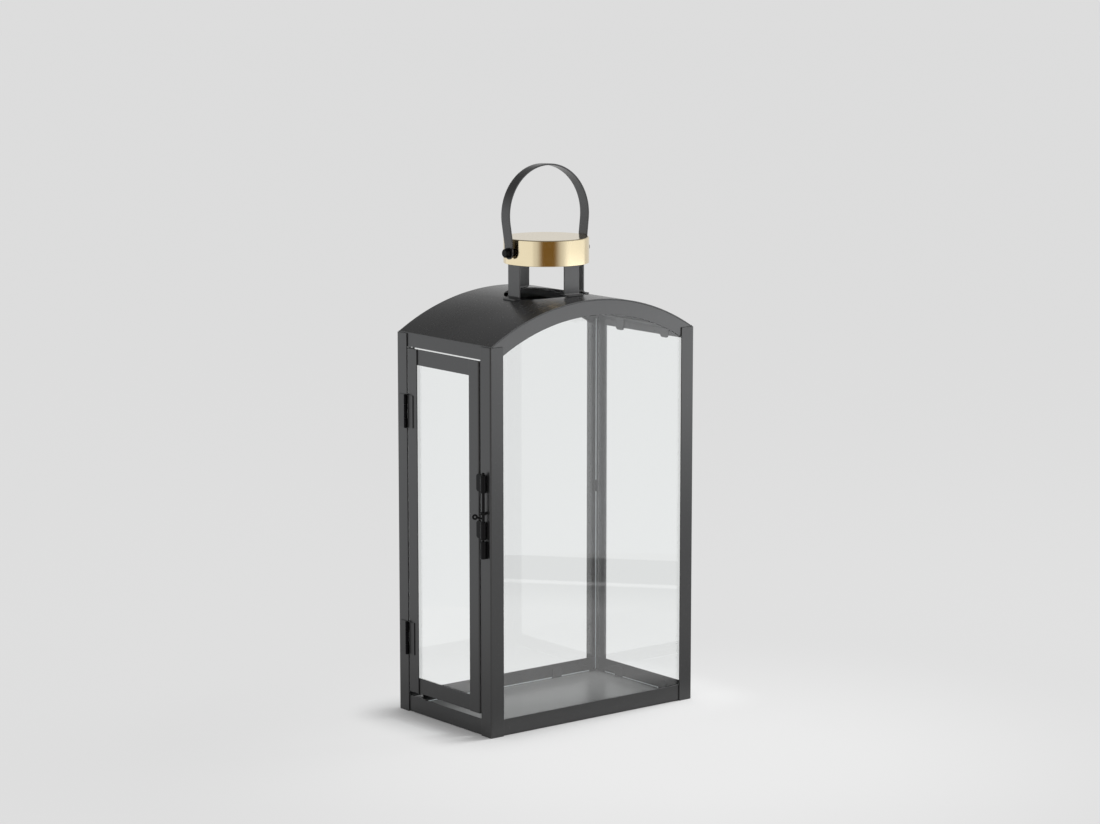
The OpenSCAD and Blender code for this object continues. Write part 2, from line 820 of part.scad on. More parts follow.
// Bolt: a wire rod in the two sleeves on the door, with a collar and an eye to lift it by.
// It is drawn lifted clear of the keeper, so that the door can swing.
module latch_bolt() {
    tip = bolt_r / 2;
    color(DARK)
        translate([latch_x, latch_y, 0])
            union() {
                translate([0, 0, bolt_z0 + tip])
                    cylinder(r = bolt_r, h = bolt_z1 - bolt_z0 - 2 * tip, $fn = ROUND);
                translate([0, 0, bolt_z0])
                    cylinder(r1 = bolt_r - tip, r2 = bolt_r, h = tip, $fn = ROUND);
                translate([0, 0, bolt_z1 - tip])
                    cylinder(r1 = bolt_r, r2 = bolt_r - tip, h = tip, $fn = ROUND);
                translate([0, 0, collar_z - collar_h / 2])
                    cylinder(r = collar_r, h = collar_h, $fn = ROUND);
                translate([0, 0, eye_z])
                    rotate([0, -eye_tilt, 135])
                        union() {
                            rod_x(eye_wire_r, 0, eye_out - eye_r);
                            translate([eye_out, 0, 0])
                                rotate([90, 0, 0])
                                    rotate_extrude($fn = ROUND)
                                        translate([eye_r, 0])
                                            circle(eye_wire_r, $fn = ROUND);
                        }
            }
}

corner_post(-half_w, -half_d, 0);  // post_front_left
corner_post(half_w, -half_d, 90);  // post_front_right
corner_post(half_w, half_d, 180);  // post_back_right
corner_post(-half_w, half_d, 270);  // post_back_left
bottom_rail(2 * rail_x, rail_y, 0);  // bottom_rail_front
bottom_rail(2 * rail_y, rail_x, 90);  // bottom_rail_right
bottom_rail(2 * rail_x, rail_y, 180);  // bottom_rail_back
bottom_rail(2 * rail_y, rail_x, 270);  // bottom_rail_left
top_rail(270);  // top_rail_left
top_rail(90);  // top_rail_right
arch(0);  // arch_front
arch(180);  // arch_back
roof_sheet();
floor_plate();
arched_pane_clips(0);  // glass_clips_front
arched_pane_clips(180);  // glass_clips_back
glass_clips_right();
crown_leg(270);  // chimney_leg_front
crown_leg(90);  // chimney_leg_back
side_leg(180);  // chimney_leg_left
side_leg(0);  // chimney_leg_right
cap();
bail_strap();
pivot_screws();
pivot_lock_nuts();
pivot_washers();
pivot_spacers();
cap_nuts();
door_stop();
door_stile_hinge();
door_stile_latch();
door_rail_top();
door_rail_bottom();
door_glass_clips();
hinge_leaf(hinge_upper_z, 1, post_leaf_w, [1]);  // hinge_upper_post_leaf
hinge_leaf(hinge_upper_z, -1, door_leaf_w, [0, 2]);  // hinge_upper_door_leaf
hinge_pin(hinge_upper_z);  // hinge_upper_pin
hinge_leaf(hinge_lower_z, 1, post_leaf_w, [1]);  // hinge_lower_post_leaf
hinge_leaf(hinge_lower_z, -1, door_leaf_w, [0, 2]);  // hinge_lower_door_leaf
hinge_pin(hinge_lower_z);  // hinge_lower_pin
rolled_sleeve(sleeve_upper_z, 1, stile_at + wing_lap, stile_at);  // latch_sleeve_upper
rolled_sleeve(sleeve_lower_z, 1, stile_at + wing_lap, stile_at);  // latch_sleeve_lower
rolled_sleeve(keeper_z, -1, keeper_reach, sleeve_r);  // latch_keeper
latch_bolt();
arched_pane(0);  // glass_front
arched_pane(180);  // glass_back
glass_right();
door_glass();
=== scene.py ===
"""Candle lantern of black powder-coated steel and clear glass, with a spun brass chimney cap, seen in a pale studio.

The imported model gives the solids. This script lights them, gives every piece its finish, and replaces the pieces
whose sheet edges and rounds show. It follows the lantern as it is put together, one section for each kind of piece.
"""
import math

import bmesh
import bpy
import numpy as np
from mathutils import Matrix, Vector


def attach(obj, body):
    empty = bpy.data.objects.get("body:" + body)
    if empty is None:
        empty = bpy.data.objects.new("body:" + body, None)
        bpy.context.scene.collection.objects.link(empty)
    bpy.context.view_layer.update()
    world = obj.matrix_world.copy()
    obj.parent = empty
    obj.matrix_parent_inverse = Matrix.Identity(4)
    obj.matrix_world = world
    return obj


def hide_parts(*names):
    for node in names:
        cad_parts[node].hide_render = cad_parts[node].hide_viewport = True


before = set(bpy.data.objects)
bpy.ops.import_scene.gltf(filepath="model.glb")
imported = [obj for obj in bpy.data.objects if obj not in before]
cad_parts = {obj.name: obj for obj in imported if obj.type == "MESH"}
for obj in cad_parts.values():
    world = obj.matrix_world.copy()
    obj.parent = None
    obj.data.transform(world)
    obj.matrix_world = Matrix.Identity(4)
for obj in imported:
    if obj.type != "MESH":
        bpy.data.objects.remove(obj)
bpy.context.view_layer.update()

# Camera: it stands in front of the lantern's near left corner and looks a little down on it, through a long
# lens, as the lantern was photographed.
camera_turn = math.radians(38.25)
camera_tilt = math.radians(9.25)
camera_data = bpy.data.cameras.new("camera")
camera_data.sensor_width = 36
camera_data.lens = 104.95
camera_data.clip_start = 0.1
camera_data.clip_end = 60
camera = bpy.data.objects.new("camera", camera_data)
bpy.context.scene.collection.objects.link(camera)
camera.location = (-2.00052, -2.54376, 0.83315)
camera_look = Vector((math.sin(camera_turn) * math.cos(camera_tilt),
                      math.cos(camera_turn) * math.cos(camera_tilt), -math.sin(camera_tilt)))
camera.rotation_euler = camera_look.to_track_quat("-Z", "Y").to_euler()
bpy.context.scene.camera = camera
bpy.context.scene.view_settings.view_transform = "Standard"


# Studio floor: one wide disc of pale grey paper under the lantern. It keeps the lantern's shadow near the foot and
# shows its own light further off. That light has a painted pool of light round one spot in front of the lantern, and
# painted shade near the foot where reflections see it. In the panes' mirror image it carries a painted reflection of
# a table's edge, a white line in front of a dark gap.
def new_piece(name, points, faces, smooth=True):
    """A mesh object at the origin from arrays of points and faces."""
    mesh = bpy.data.meshes.new(name)
    mesh.from_pydata(np.asarray(points, float).tolist(), [], np.asarray(faces).tolist())
    mesh.update()
    mesh.polygons.foreach_set("use_smooth", np.full(len(mesh.polygons), smooth))
    piece = bpy.data.objects.new(name, mesh)
    bpy.context.scene.collection.objects.link(piece)
    return piece


def ring_quads(rings, spokes):
    """The four corners of each quad between neighbouring closed rings of points, as two near and two far ones."""
    ring, spoke = np.meshgrid(np.arange(rings - 1), np.arange(spokes), indexing="ij")
    near = ring * spokes + spoke
    near_next = ring * spokes + (spoke + 1) % spokes
    return near, near_next, near_next + spokes, near + spokes


def disc_rings(radii, spokes):
    """Points on flat circles of the given radii, as (r cos a, r sin a, 0), and the quads between the circles."""
    angle = np.linspace(0, 2 * np.pi, spokes, endpoint=False)
    points = np.stack([np.outer(radii, np.cos(angle)), np.outer(radii, np.sin(angle)),
                       np.zeros((len(radii), spokes))], -1).reshape(-1, 3)
    near, near_next, far_next, far = ring_quads(len(radii), spokes)
    return points, np.stack([near, far, far_next, near_next], -1).reshape(-1, 4)


def new_material(name):
    """A material with only its output node."""
    material = bpy.data.materials.new(name)
    material.use_nodes = True
    tree = material.node_tree
    tree.nodes.clear()
    return material, tree, tree.nodes.new("ShaderNodeOutputMaterial")


def add_node(tree, kind, inputs=None, **settings):
    """A node of the kind with its settings. An input, by name or number, takes a value or another node's socket."""
    node = tree.nodes.new(kind)
    for key, value in settings.items():
        setattr(node, key, value)
    for key, value in (inputs or {}).items():
        if isinstance(value, bpy.types.NodeSocket):
            tree.links.new(value, node.inputs[key])
        else:
            node.inputs[key].default_value = value
    return node


def sums(tree, operation, *values):
    """The result of one step of arithmetic on numbers or sockets."""
    return add_node(tree, "ShaderNodeMath", dict(enumerate(values)), operation=operation).outputs[0]


def vector_sums(tree, operation, *values):
    """The result of one step of vector arithmetic, a vector or, for lengths and dot products, a number."""
    node = add_node(tree, "ShaderNodeVectorMath", dict(enumerate(values)), operation=operation)
    return node.outputs["Value" if operation in ("LENGTH", "DISTANCE", "DOT_PRODUCT") else "Vector"]


def change(tree, value, start, end, first=0.0, last=1.0, smooth=True):
    """Goes from first to last as the value goes from start to end, with eased ends or in a straight line."""
    return add_node(tree, "ShaderNodeMapRange", {"Value": value, "From Min": start, "From Max": end, "To Min": first,
                                                 "To Max": last},
                    interpolation_type="SMOOTHSTEP" if smooth else "LINEAR").outputs["Result"]


def blended(tree, share, first, second, data_type="FLOAT"):
    """A number or colour that goes from first to second with the share."""
    return add_node(tree, "ShaderNodeMix", {"Factor": share, "A": first, "B": second},
                    data_type=data_type).outputs["Result"]


def mixed(tree, share, first, second):
    """A mix of two shaders."""
    return add_node(tree, "ShaderNodeMixShader", {0: share, 1: first, 2: second}).outputs[0]


def paper_material():
    """Lit pale grey near the lantern. Further off, the camera, gloss and glass see it by its own light, with a painted
    pool of light that makes it brighter round one spot in front of the lantern.

    Both follow the distance past a rectangle round the lantern's foot. So does a painted shade that darkens the paper
    near the foot where reflections see it. The mirror image in the panes leaves out the paper beside the foot, and
    shows a painted reflection of a table's edge, a white line in front of dark bands. Its level follows a ramp along
    one direction of the floor, and drops across it.
    """
    foot_middle, foot_half = (0.006, -0.012, 0), (0.131, 0.064, 0)
    own_from, own_full, own_share = 0.004, 0.08, 0.95
    # A painted pool of light: the own light is brightest round this spot and fades to the far level.
    painted_light_spot, spot_r, fade_r, painted_spot_tone, far_tone = (-0.02, -0.25, 0), 0.08, 0.55, 0.83, 0.735
    # Painted shade: reflections see the paper near the foot darker, by up to a half.
    painted_shade_from, painted_shade_to, painted_shade_depth = 0.02, 0.45, 0.5
    mirrored_from, mirrored_full = 0.05, 0.12
    # The painted reflection of a table's edge, shown only in the panes' mirror image: its directions, its gain across,
    # and its levels, a white line between dark bands.
    to_painted_edge_reflection, along_painted_edge_reflection = (0.764, -0.670, 0), (0.670, 0.764, 0)
    gain_from, gain_to, most_gain, least_gain = 0.02, 0.30, 10.0, 4.5
    edge_from, edge_to = 0.55, 0.90
    painted_edge_levels = ((0.0, 0.20), (0.36, 0.09), (0.39, 0.26), (0.42, 0.26), (0.44, 0.065), (0.83, 0.065), (0.85, 0.20))
    material, tree, output = new_material("studio_paper")
    place = add_node(tree, "ShaderNodeTexCoord").outputs["Object"]
    path = add_node(tree, "ShaderNodeLightPath").outputs
    from_middle = vector_sums(tree, "ABSOLUTE", vector_sums(tree, "SUBTRACT", place, foot_middle))
    past_foot = vector_sums(tree, "MAXIMUM", vector_sums(tree, "SUBTRACT", from_middle, foot_half), (0, 0, 0))
    away = vector_sums(tree, "LENGTH", past_foot)

    seen = sums(tree, "MAXIMUM", path["Is Camera Ray"], path["Is Glossy Ray"])
    seen = sums(tree, "MAXIMUM", seen, path["Is Transmission Ray"])
    own_light = sums(tree, "MULTIPLY", change(tree, away, own_from, own_full, 0.0, own_share), seen)
    # Painted pool of light round one spot, then painted shade near the foot for reflection rays.
    tone = change(tree, vector_sums(tree, "DISTANCE", place, painted_light_spot), spot_r, fade_r, painted_spot_tone, far_tone)
    painted_shade_in_reflections = sums(tree, "MULTIPLY", change(tree, away, painted_shade_from, painted_shade_to, painted_shade_depth, 0.0), path["Is Reflection Ray"])
    tone = sums(tree, "MULTIPLY", tone, sums(tree, "SUBTRACT", 1.0, painted_shade_in_reflections))

    # The painted reflection of the table's edge, drawn only for singular reflection rays.
    span = change(tree, vector_sums(tree, "DOT_PRODUCT", place, to_painted_edge_reflection), edge_from, edge_to, smooth=False)
    edge = add_node(tree, "ShaderNodeValToRGB", {"Fac": span})
    while len(edge.color_ramp.elements) < len(painted_edge_levels):
        edge.color_ramp.elements.new(0.5)
    for element, (position, level) in zip(edge.color_ramp.elements, painted_edge_levels):
        element.position = position
        element.color = (level, level, level, 1)
    across = vector_sums(tree, "DOT_PRODUCT", place, along_painted_edge_reflection)
    gain = change(tree, across, gain_from, gain_to, most_gain, least_gain)
    painted_reflection_level = sums(tree, "MULTIPLY", edge.outputs["Color"], gain)
    in_pane = sums(tree, "MULTIPLY", path["Is Singular Ray"], path["Is Reflection Ray"])
    mirrored = sums(tree, "MULTIPLY", in_pane, change(tree, away, mirrored_from, mirrored_full))

    lit = add_node(tree, "ShaderNodeBsdfDiffuse", {"Color": (0.82, 0.82, 0.82, 1)})
    glow = add_node(tree, "ShaderNodeEmission", {"Color": (1, 1, 1, 1),
                                                 "Strength": blended(tree, mirrored, tone, painted_reflection_level)})
    share = sums(tree, "MAXIMUM", own_light, mirrored)
    tree.links.new(mixed(tree, share, lit.outputs["BSDF"], glow.outputs["Emission"]), output.inputs["Surface"])
    material.cycles.emission_sampling = "NONE"
    return material


paper = new_piece("studio_floor", *disc_rings(np.array([0.001, 0.5, 1, 2, 4, 8, 16]), 96))
paper.data.materials.append(paper_material())


# Studio light: an even pale surround that darkens overhead, a soft lamp high at the right, and three upright sheets
# that only gloss and mirrors see. A bright one stands at the right, a white one at the left, and a dim brown one
# behind the camera.
def surround_world(background, ambient, overhead):
    """A world that lights with one grey, shows another to the camera and glass, and darkens upward in gloss."""
    darkens_from, darkest_from = 0.16, 0.55
    world = bpy.data.worlds.new("studio")
    bpy.context.scene.world = world
    world.use_nodes = True
    world.cycles.sampling_method = "NONE"
    tree = world.node_tree
    tree.nodes.clear()
    path = add_node(tree, "ShaderNodeLightPath").outputs
    seen = sums(tree, "MAXIMUM", path["Is Camera Ray"], path["Is Transmission Ray"])
    direction = add_node(tree, "ShaderNodeTexCoord").outputs["Generated"]
    height = add_node(tree, "ShaderNodeSeparateXYZ", {0: direction}).outputs["Z"]
    in_gloss = change(tree, height, darkens_from, darkest_from, background, overhead)
    light, show, mirrored = (
        add_node(tree, "ShaderNodeBackground", {"Color": (1, 1, 1, 1), "Strength": strength}).outputs[0]
        for strength in (ambient, background, in_gloss))
    surface = mixed(tree, seen, mixed(tree, path["Is Glossy Ray"], light, mirrored), show)
    add_node(tree, "ShaderNodeOutputWorld", {"Surface": surface})


def soft_box(name, place, aim, side, power, in_gloss):
    """A square lamp at a place, facing the point that it is aimed at."""
    data = bpy.data.lights.new(name, "AREA")
    data.shape = "RECTANGLE"
    data.size = data.size_y = side
    data.energy = power
    lamp = bpy.data.objects.new(name, data)
    bpy.context.scene.collection.objects.link(lamp)
    lamp.location = place
    lamp.rotation_euler = (Vector(aim) - Vector(place)).to_track_quat("-Z", "Y").to_euler()
    lamp.visible_camera = False
    lamp.visible_transmission = False
    lamp.visible_glossy = in_gloss


def bent_screen(name, low_angle, high_angle, distance, height, material, columns=24):
    """An upright strip on a circle round the lantern, from the floor to a height, between two angles in degrees.

    The angles are counted to the right from the camera's side. Points are distance times (sin a, cos a).
    """
    a = camera_turn + np.pi - np.radians(np.linspace(low_angle, high_angle, columns))
    foot = np.stack([np.sin(a) * distance, np.cos(a) * distance, np.zeros(columns)], -1)
    i = np.arange(columns - 1)
    screen = new_piece(name, np.concatenate([foot, foot + [0, 0, height]]),
                       np.stack([i, i + 1, i + 1 + columns, i + columns], -1))
    screen.visible_camera = False
    screen.visible_shadow = False
    screen.visible_transmission = False
    screen.visible_diffuse = False
    screen.data.materials.append(material)


def glowing_sheet(tree, output, cover, colour, strength=1.0):
    """Even light of a colour where the cover is 1, and nothing where it is 0."""
    clear = add_node(tree, "ShaderNodeBsdfTransparent")
    glow = add_node(tree, "ShaderNodeEmission", {"Color": colour, "Strength": strength})
    tree.links.new(mixed(tree, cover, clear.outputs[0], glow.outputs[0]), output.inputs["Surface"])


def screen_material(name, foot, middle, head, mirrored, fade):
    """White light whose strength goes from foot to middle to head with the height, and fades out to one side.

    Where a pane mirrors it, it is even, and drops toward the lantern's right. The step to the head is at the height
    where the cap starts to mirror it.
    """
    middle_z, head_from, head_z = 0.28, 0.335, 0.365
    drop_from, drop_to, dropped = 0.63, 0.78, 1.0
    material, tree, output = new_material(name)
    place = add_node(tree, "ShaderNodeTexCoord").outputs["Object"]
    split = add_node(tree, "ShaderNodeSeparateXYZ", {0: place}).outputs
    strength = sums(tree, "MULTIPLY", change(tree, split["Z"], 0.0, middle_z, foot, middle),
                    change(tree, split["Z"], head_from, head_z, 1.0, head / middle))
    even = change(tree, split["X"], drop_from, drop_to, mirrored, min(mirrored, dropped))
    in_mirror = add_node(tree, "ShaderNodeLightPath").outputs["Is Singular Ray"]
    cover = change(tree, vector_sums(tree, "DOT_PRODUCT", place, to_the_right), *fade)
    glowing_sheet(tree, output, cover, (0.97, 0.985, 1.0, 1), blended(tree, in_mirror, strength, even))
    material.cycles.emission_sampling = "NONE"
    return material


def room_material(left_end, left_full, right_full, right_end):
    """A dim warm brown that fades out toward both ends, by the distance to the camera's right."""
    material, tree, output = new_material("dim_room")
    place = add_node(tree, "ShaderNodeTexCoord").outputs["Object"]
    along = vector_sums(tree, "DOT_PRODUCT", place, to_the_right)
    cover = sums(tree, "MULTIPLY", change(tree, along, left_end, left_full), change(tree, along, right_end, right_full))
    glowing_sheet(tree, output, cover, (0.165, 0.085, 0.008, 1))
    material.cycles.emission_sampling = "NONE"
    return material


surround_world(background=0.722, ambient=0.55, overhead=0.2)
lamp_place, lamp_aim, lamp_side = (0.92, -0.22, 1.60), (0, 0, 0.4), 0.55
soft_box("high_box", lamp_place, lamp_aim, lamp_side, 15, in_gloss=False)
soft_box("high_box_glint", lamp_place, lamp_aim, lamp_side, 7, in_gloss=True)
to_the_right = (math.cos(camera_turn), -math.sin(camera_turn), 0)
bent_screen("right_screen", 42, 124, 0.88, 0.75, screen_material("right_screen", 0.35, 2.4, 0.98, 2.3, (0.60, 0.80)))
bent_screen("left_screen", -135, -30, 0.62, 0.6, screen_material("left_screen", 0.80, 0.98, 0.95, 1.8, (-0.31, -0.38)))
bent_screen("dim_room", -36, 52, 2.3, 1.2, room_material(-1.1, -0.3, 0.75, 1.7))


# Corner posts and rails: folded steel angles, spot-welded together and powder-coated after welding, so that all
# match. The baked coat has a fine orange peel, slow changes of gloss and a little dust, and rounds the sheet edges.
def coat_group():
    """A node group that puts out a colour, a roughness and a height for a baked coat.

    Height is a fine noise plus a coarser one. Tone and gloss drift with a slow noise, and dust is a sparse
    speckle that is kept where a fine noise is near its top.
    """
    slow_noise, peel_noise = (11.0, 3.0, 0.6), (900.0, 2.0, 0.5)
    grit_noise, speck_noise = (420.0, 1.0, 0.5), (620.0, 0.0, 0.5)
    dust_from, dust_full, dust_colour, dust_dulls = 0.76, 0.82, (0.35, 0.34, 0.33, 1), 0.4
    tone_swing, grit_share = 2.2, 0.6
    group = bpy.data.node_groups.new("baked_coat", "ShaderNodeTree")
    for name, kind, value in (("Colour", "Color", (0.03, 0.03, 0.03, 1)), ("Gloss Roughness", "Float", 0.4),
                              ("Drift", "Float", 0.1), ("Peel", "Float", 1.0), ("Dust", "Float", 0.3)):
        socket = group.interface.new_socket(name, in_out="INPUT", socket_type="NodeSocket" + kind)
        socket.default_value = value
    for name, kind in (("Colour", "Color"), ("Roughness", "Float"), ("Height", "Float")):
        group.interface.new_socket(name, in_out="OUTPUT", socket_type="NodeSocket" + kind)
    given = add_node(group, "NodeGroupInput").outputs
    place = add_node(group, "ShaderNodeTexCoord").outputs["Object"]
    slow, peel, grit, speck = (
        add_node(group, "ShaderNodeTexNoise", {"Vector": place, "Scale": scale, "Detail": detail,
                                               "Roughness": roughness}).outputs["Fac"]
        for scale, detail, roughness in (slow_noise, peel_noise, grit_noise, speck_noise))
    drift = sums(group, "MULTIPLY", sums(group, "SUBTRACT", slow, 0.5), given["Drift"])
    rough = sums(group, "ADD", given["Gloss Roughness"], drift)
    lift = sums(group, "MULTIPLY_ADD", drift, tone_swing, 1.0)
    tinted = add_node(group, "ShaderNodeVectorMath", {0: given["Colour"], "Scale": lift},
                      operation="SCALE").outputs["Vector"]
    dusty = sums(group, "MULTIPLY", change(group, speck, dust_from, dust_full, smooth=False), given["Dust"])
    bumps = sums(group, "MULTIPLY_ADD", grit, grit_share, peel)
    add_node(group, "NodeGroupOutput", {
        "Colour": blended(group, dusty, tinted, dust_colour, "RGBA"),
        "Roughness": sums(group, "MULTIPLY_ADD", dusty, dust_dulls, rough),
        "Height": sums(group, "MULTIPLY", bumps, given["Peel"])})
    return group


baked_coat = coat_group()


def coated_steel(name, colour, roughness, specular, drift=0.1, dust=0.05, bump=0.10):
    """Powder-coated steel of a colour and a roughness, with its orange peel as a bump of a given strength."""
    peel_h = 0.0002
    material, tree, output = new_material(name)
    coat = add_node(tree, "ShaderNodeGroup", node_tree=baked_coat)
    for key, value in (("Colour", (*colour, 1)), ("Gloss Roughness", roughness), ("Drift", drift), ("Peel", 1.0),
                       ("Dust", dust)):
        coat.inputs[key].default_value = value
    relief = add_node(tree, "ShaderNodeBump", {"Strength": bump, "Distance": peel_h, "Height": coat.outputs["Height"]})
    skin = add_node(tree, "ShaderNodeBsdfPrincipled", {
        "Specular IOR Level": specular, "IOR": 1.5, "Base Color": coat.outputs["Colour"],
        "Roughness": coat.outputs["Roughness"], "Normal": relief.outputs["Normal"]})
    tree.links.new(skin.outputs["BSDF"], output.inputs["Surface"])
    return material


def finish_nodes(names, material):
    """Gives CAD nodes a material in place of their own."""
    for name in names:
        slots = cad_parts[name].data.materials
        slots.clear()
        slots.append(material)


def eased(names, body, material):
    """Copies of CAD nodes with their sheet edges rounded by a small radius, as a thick coat leaves them."""
    edge_r, sharp_from, flat_to, same_point = 0.0003, math.radians(35), math.radians(0.2), 0.000001
    for name in names:
        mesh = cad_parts[name].data.copy()
        if "custom_normal" in mesh.attributes:
            mesh.attributes.remove(mesh.attributes["custom_normal"])
        piece = bpy.data.objects.new(name + "_eased", mesh)
        bpy.context.scene.collection.objects.link(piece)
        mesh.materials.clear()
        mesh.materials.append(material)
        work = bmesh.new()
        work.from_mesh(mesh)
        bmesh.ops.remove_doubles(work, verts=work.verts, dist=same_point)
        bmesh.ops.dissolve_limit(work, angle_limit=flat_to, verts=work.verts, edges=work.edges)
        work.to_mesh(mesh)
        work.free()
        mesh.polygons.foreach_set("use_smooth", np.ones(len(mesh.polygons), bool))
        bevel = piece.modifiers.new("eased", "BEVEL")
        bevel.width = edge_r
        bevel.segments = 2
        bevel.limit_method = "ANGLE"
        bevel.angle_limit = sharp_from
        level = piece.modifiers.new("level_faces", "WEIGHTED_NORMAL")
        level.weight = 100
        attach(piece, body)
        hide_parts(name)


charcoal = coated_steel("charcoal_coat", (0.020, 0.020, 0.0205), 0.33, specular=0.8)
eased(["post_front_left", "post_front_right", "post_back_left", "post_back_right", "bottom_rail_front",
       "bottom_rail_back", "bottom_rail_left", "bottom_rail_right", "top_rail_left", "top_rail_right", "door_stop"],
      "frame", charcoal)

# Arches: steel angle rolled to the roof's curve, with its face in the wall and its flange under the roof. Their coat
# is the posts' coat with a lighter colour and a stronger gloss, painted light that makes them read brighter than the
# posts.
arch_coat_painted_lighter = coated_steel("arch_coat_painted_lighter", (0.024, 0.024, 0.0245), 0.33, specular=1.0)
eased(["arch_front", "arch_back"], "frame", arch_coat_painted_lighter)

# Chimney legs: four straps of the same sheet, bent outward at the foot and spot-welded to the roof, that carry the
# cap above the roof's hole. Their coat is the posts' coat with a lighter colour and a stronger gloss, painted light
# that makes them read brighter.
leg_coat_painted_lighter = coated_steel("leg_coat_painted_lighter", (0.026, 0.026, 0.0265), 0.33, specular=1.0)
eased(["chimney_leg_front", "chimney_leg_back", "chimney_leg_left", "chimney_leg_right"], "frame",
      leg_coat_painted_lighter)

# Glass clips: small flat tabs on the rails and arches that hold the panes from inside, coated with the case.
finish_nodes(["glass_clips_front", "glass_clips_back", "glass_clips_right"], charcoal)

# Roof: one wide sheet, rolled to an arc and welded on the arches, with a round hole under the chimney. Its coat is
# a little glossier than that of the folded pieces.
roof_coat = coated_steel("roof_coat", (0.022, 0.022, 0.0225), 0.26, specular=0.75)
eased(["roof_sheet"], "frame", roof_coat)

# Floor plate: a loose sheet of dark grey coated steel that lies on the rails' flanges. The candle stands on it, so
# it is dustier than the case.
floor_grey = coated_steel("floor_grey", (0.15, 0.15, 0.15), 0.30, specular=0.5, drift=0.16, dust=0.3)
finish_nodes(["floor_plate"], floor_grey)


# Panes: clear float glass with a faint green-blue cast, cut to size and held by clips. Light passes through them
# to the floor.
def pane_material():
    """Clear glass that lets lamp light through without a hard shadow."""
    material, tree, output = new_material("float_glass")
    glass = add_node(tree, "ShaderNodeBsdfPrincipled", {"Base Color": (0.99, 1.0, 0.998, 1), "Roughness": 0.0,
                                                        "IOR": 1.5, "Transmission Weight": 1.0, "Metallic": 0.0})
    clear = add_node(tree, "ShaderNodeBsdfTransparent", {"Color": (0.95, 0.96, 0.96, 1)})
    path = add_node(tree, "ShaderNodeLightPath").outputs
    shade = sums(tree, "MAXIMUM", path["Is Shadow Ray"], path["Is Diffuse Ray"])
    tree.links.new(mixed(tree, shade, glass.outputs["BSDF"], clear.outputs["BSDF"]), output.inputs["Surface"])
    return material


finish_nodes(["glass_front", "glass_back", "glass_right", "door_glass"], pane_material())


# Pane glints: pale strips along the foot of the back and right panes and up the corner between them, in the gap at
# the glass. They are painted highlights, near-white, that stand in for the glint of the panes' edges where light
# runs along them.
def glint_strip(name, low, high):
    """An upright flat strip between two opposite corners, that rides the frame."""
    (x0, y0, z0), (x1, y1, z1) = low, high
    piece = new_piece(name, [(x0, y0, z0), (x1, y1, z0), (x1, y1, z1), (x0, y0, z1)], [[0, 1, 2, 3]], smooth=False)
    piece.data.materials.append(glint_white)
    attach(piece, "frame")


# A pale, opaque material: the painted highlight of the glass edges.
glint_white, glint_tree, glint_output = new_material("pane_edge_glint")
glint_skin = add_node(glint_tree, "ShaderNodeBsdfPrincipled", {"Base Color": (0.85, 0.90, 0.91, 1), "Roughness": 0.3})
glint_tree.links.new(glint_skin.outputs["BSDF"], glint_output.inputs["Surface"])
back_glint_y, right_glint_x, glint_foot, glint_h = 0.07345, 0.12645, 0.0025, 0.0012
glint_strip("glint_back", (-0.120, back_glint_y, glint_foot), (0.116, back_glint_y, glint_foot + glint_h))
glint_strip("glint_right", (right_glint_x, -0.070, glint_foot), (right_glint_x, 0.060, glint_foot + glint_h))
glint_strip("glint_corner", (0.1238, back_glint_y, 0.004), (0.1252, back_glint_y, 0.385))


# Chimney cap: a shallow cup spun from brass sheet and brushed on the lathe, so that fine lines run round its
# wall and in circles on its top. Its lip is rolled, and its surface is lacquered satin.
def brushed_brass():
    """Satin brass with fine turned lines: a noise of the distance from the axis and the height alone."""
    pale_brass, paler_brass = (0.85, 0.715, 0.47, 1), (0.88, 0.76, 0.52, 1)
    line_scale, drift_scale, line_h, smoothest, roughest = 2600.0, 38.0, 0.00006, 0.11, 0.17
    material, tree, output = new_material("brushed_brass")
    place = add_node(tree, "ShaderNodeTexCoord").outputs["Object"]
    split = add_node(tree, "ShaderNodeSeparateXYZ", {0: place}).outputs
    flat = add_node(tree, "ShaderNodeCombineXYZ", {"X": split["X"], "Y": split["Y"]})
    profile = add_node(tree, "ShaderNodeCombineXYZ", {"X": vector_sums(tree, "LENGTH", flat.outputs[0]),
                                                      "Z": split["Z"]})
    turned = add_node(tree, "ShaderNodeTexNoise", {"Vector": profile.outputs[0], "Scale": line_scale, "Detail": 3.0,
                                                   "Roughness": 0.7}).outputs["Fac"]
    slow = add_node(tree, "ShaderNodeTexNoise", {"Vector": place, "Scale": drift_scale, "Detail": 3.0,
                                                 "Roughness": 0.55}).outputs["Fac"]
    relief = add_node(tree, "ShaderNodeBump", {"Strength": 0.10, "Distance": line_h, "Height": turned})
    metal = add_node(tree, "ShaderNodeBsdfPrincipled", {
        "Metallic": 1.0, "Base Color": blended(tree, slow, pale_brass, paler_brass, "RGBA"),
        "Roughness": change(tree, turned, 0.0, 1.0, smoothest, roughest, smooth=False),
        "Normal": relief.outputs["Normal"]})
    tree.links.new(metal.outputs["BSDF"], output.inputs["Surface"])
    return material


def spun(name, section, spokes):
    """A closed surface of revolution about Z from (radius, height) points, in the order round its section."""
    section = np.asarray(section)
    angle = np.linspace(0, 2 * np.pi, spokes, endpoint=False)
    points = np.stack([np.outer(section[:, 0], np.cos(angle)), np.outer(section[:, 0], np.sin(angle)),
                       np.repeat(section[:, 1:], spokes, 1)], -1).reshape(-1, 3)
    return new_piece(name, points, np.stack(ring_quads(len(section), spokes), -1).reshape(-1, 4))


def arc(r, z, radius, start, end, count=9):
    """Points on an arc about (r, z) between two angles in degrees."""
    a = np.radians(np.linspace(start, end, count))
    return np.stack([r + radius * np.cos(a), z + radius * np.sin(a)], -1)


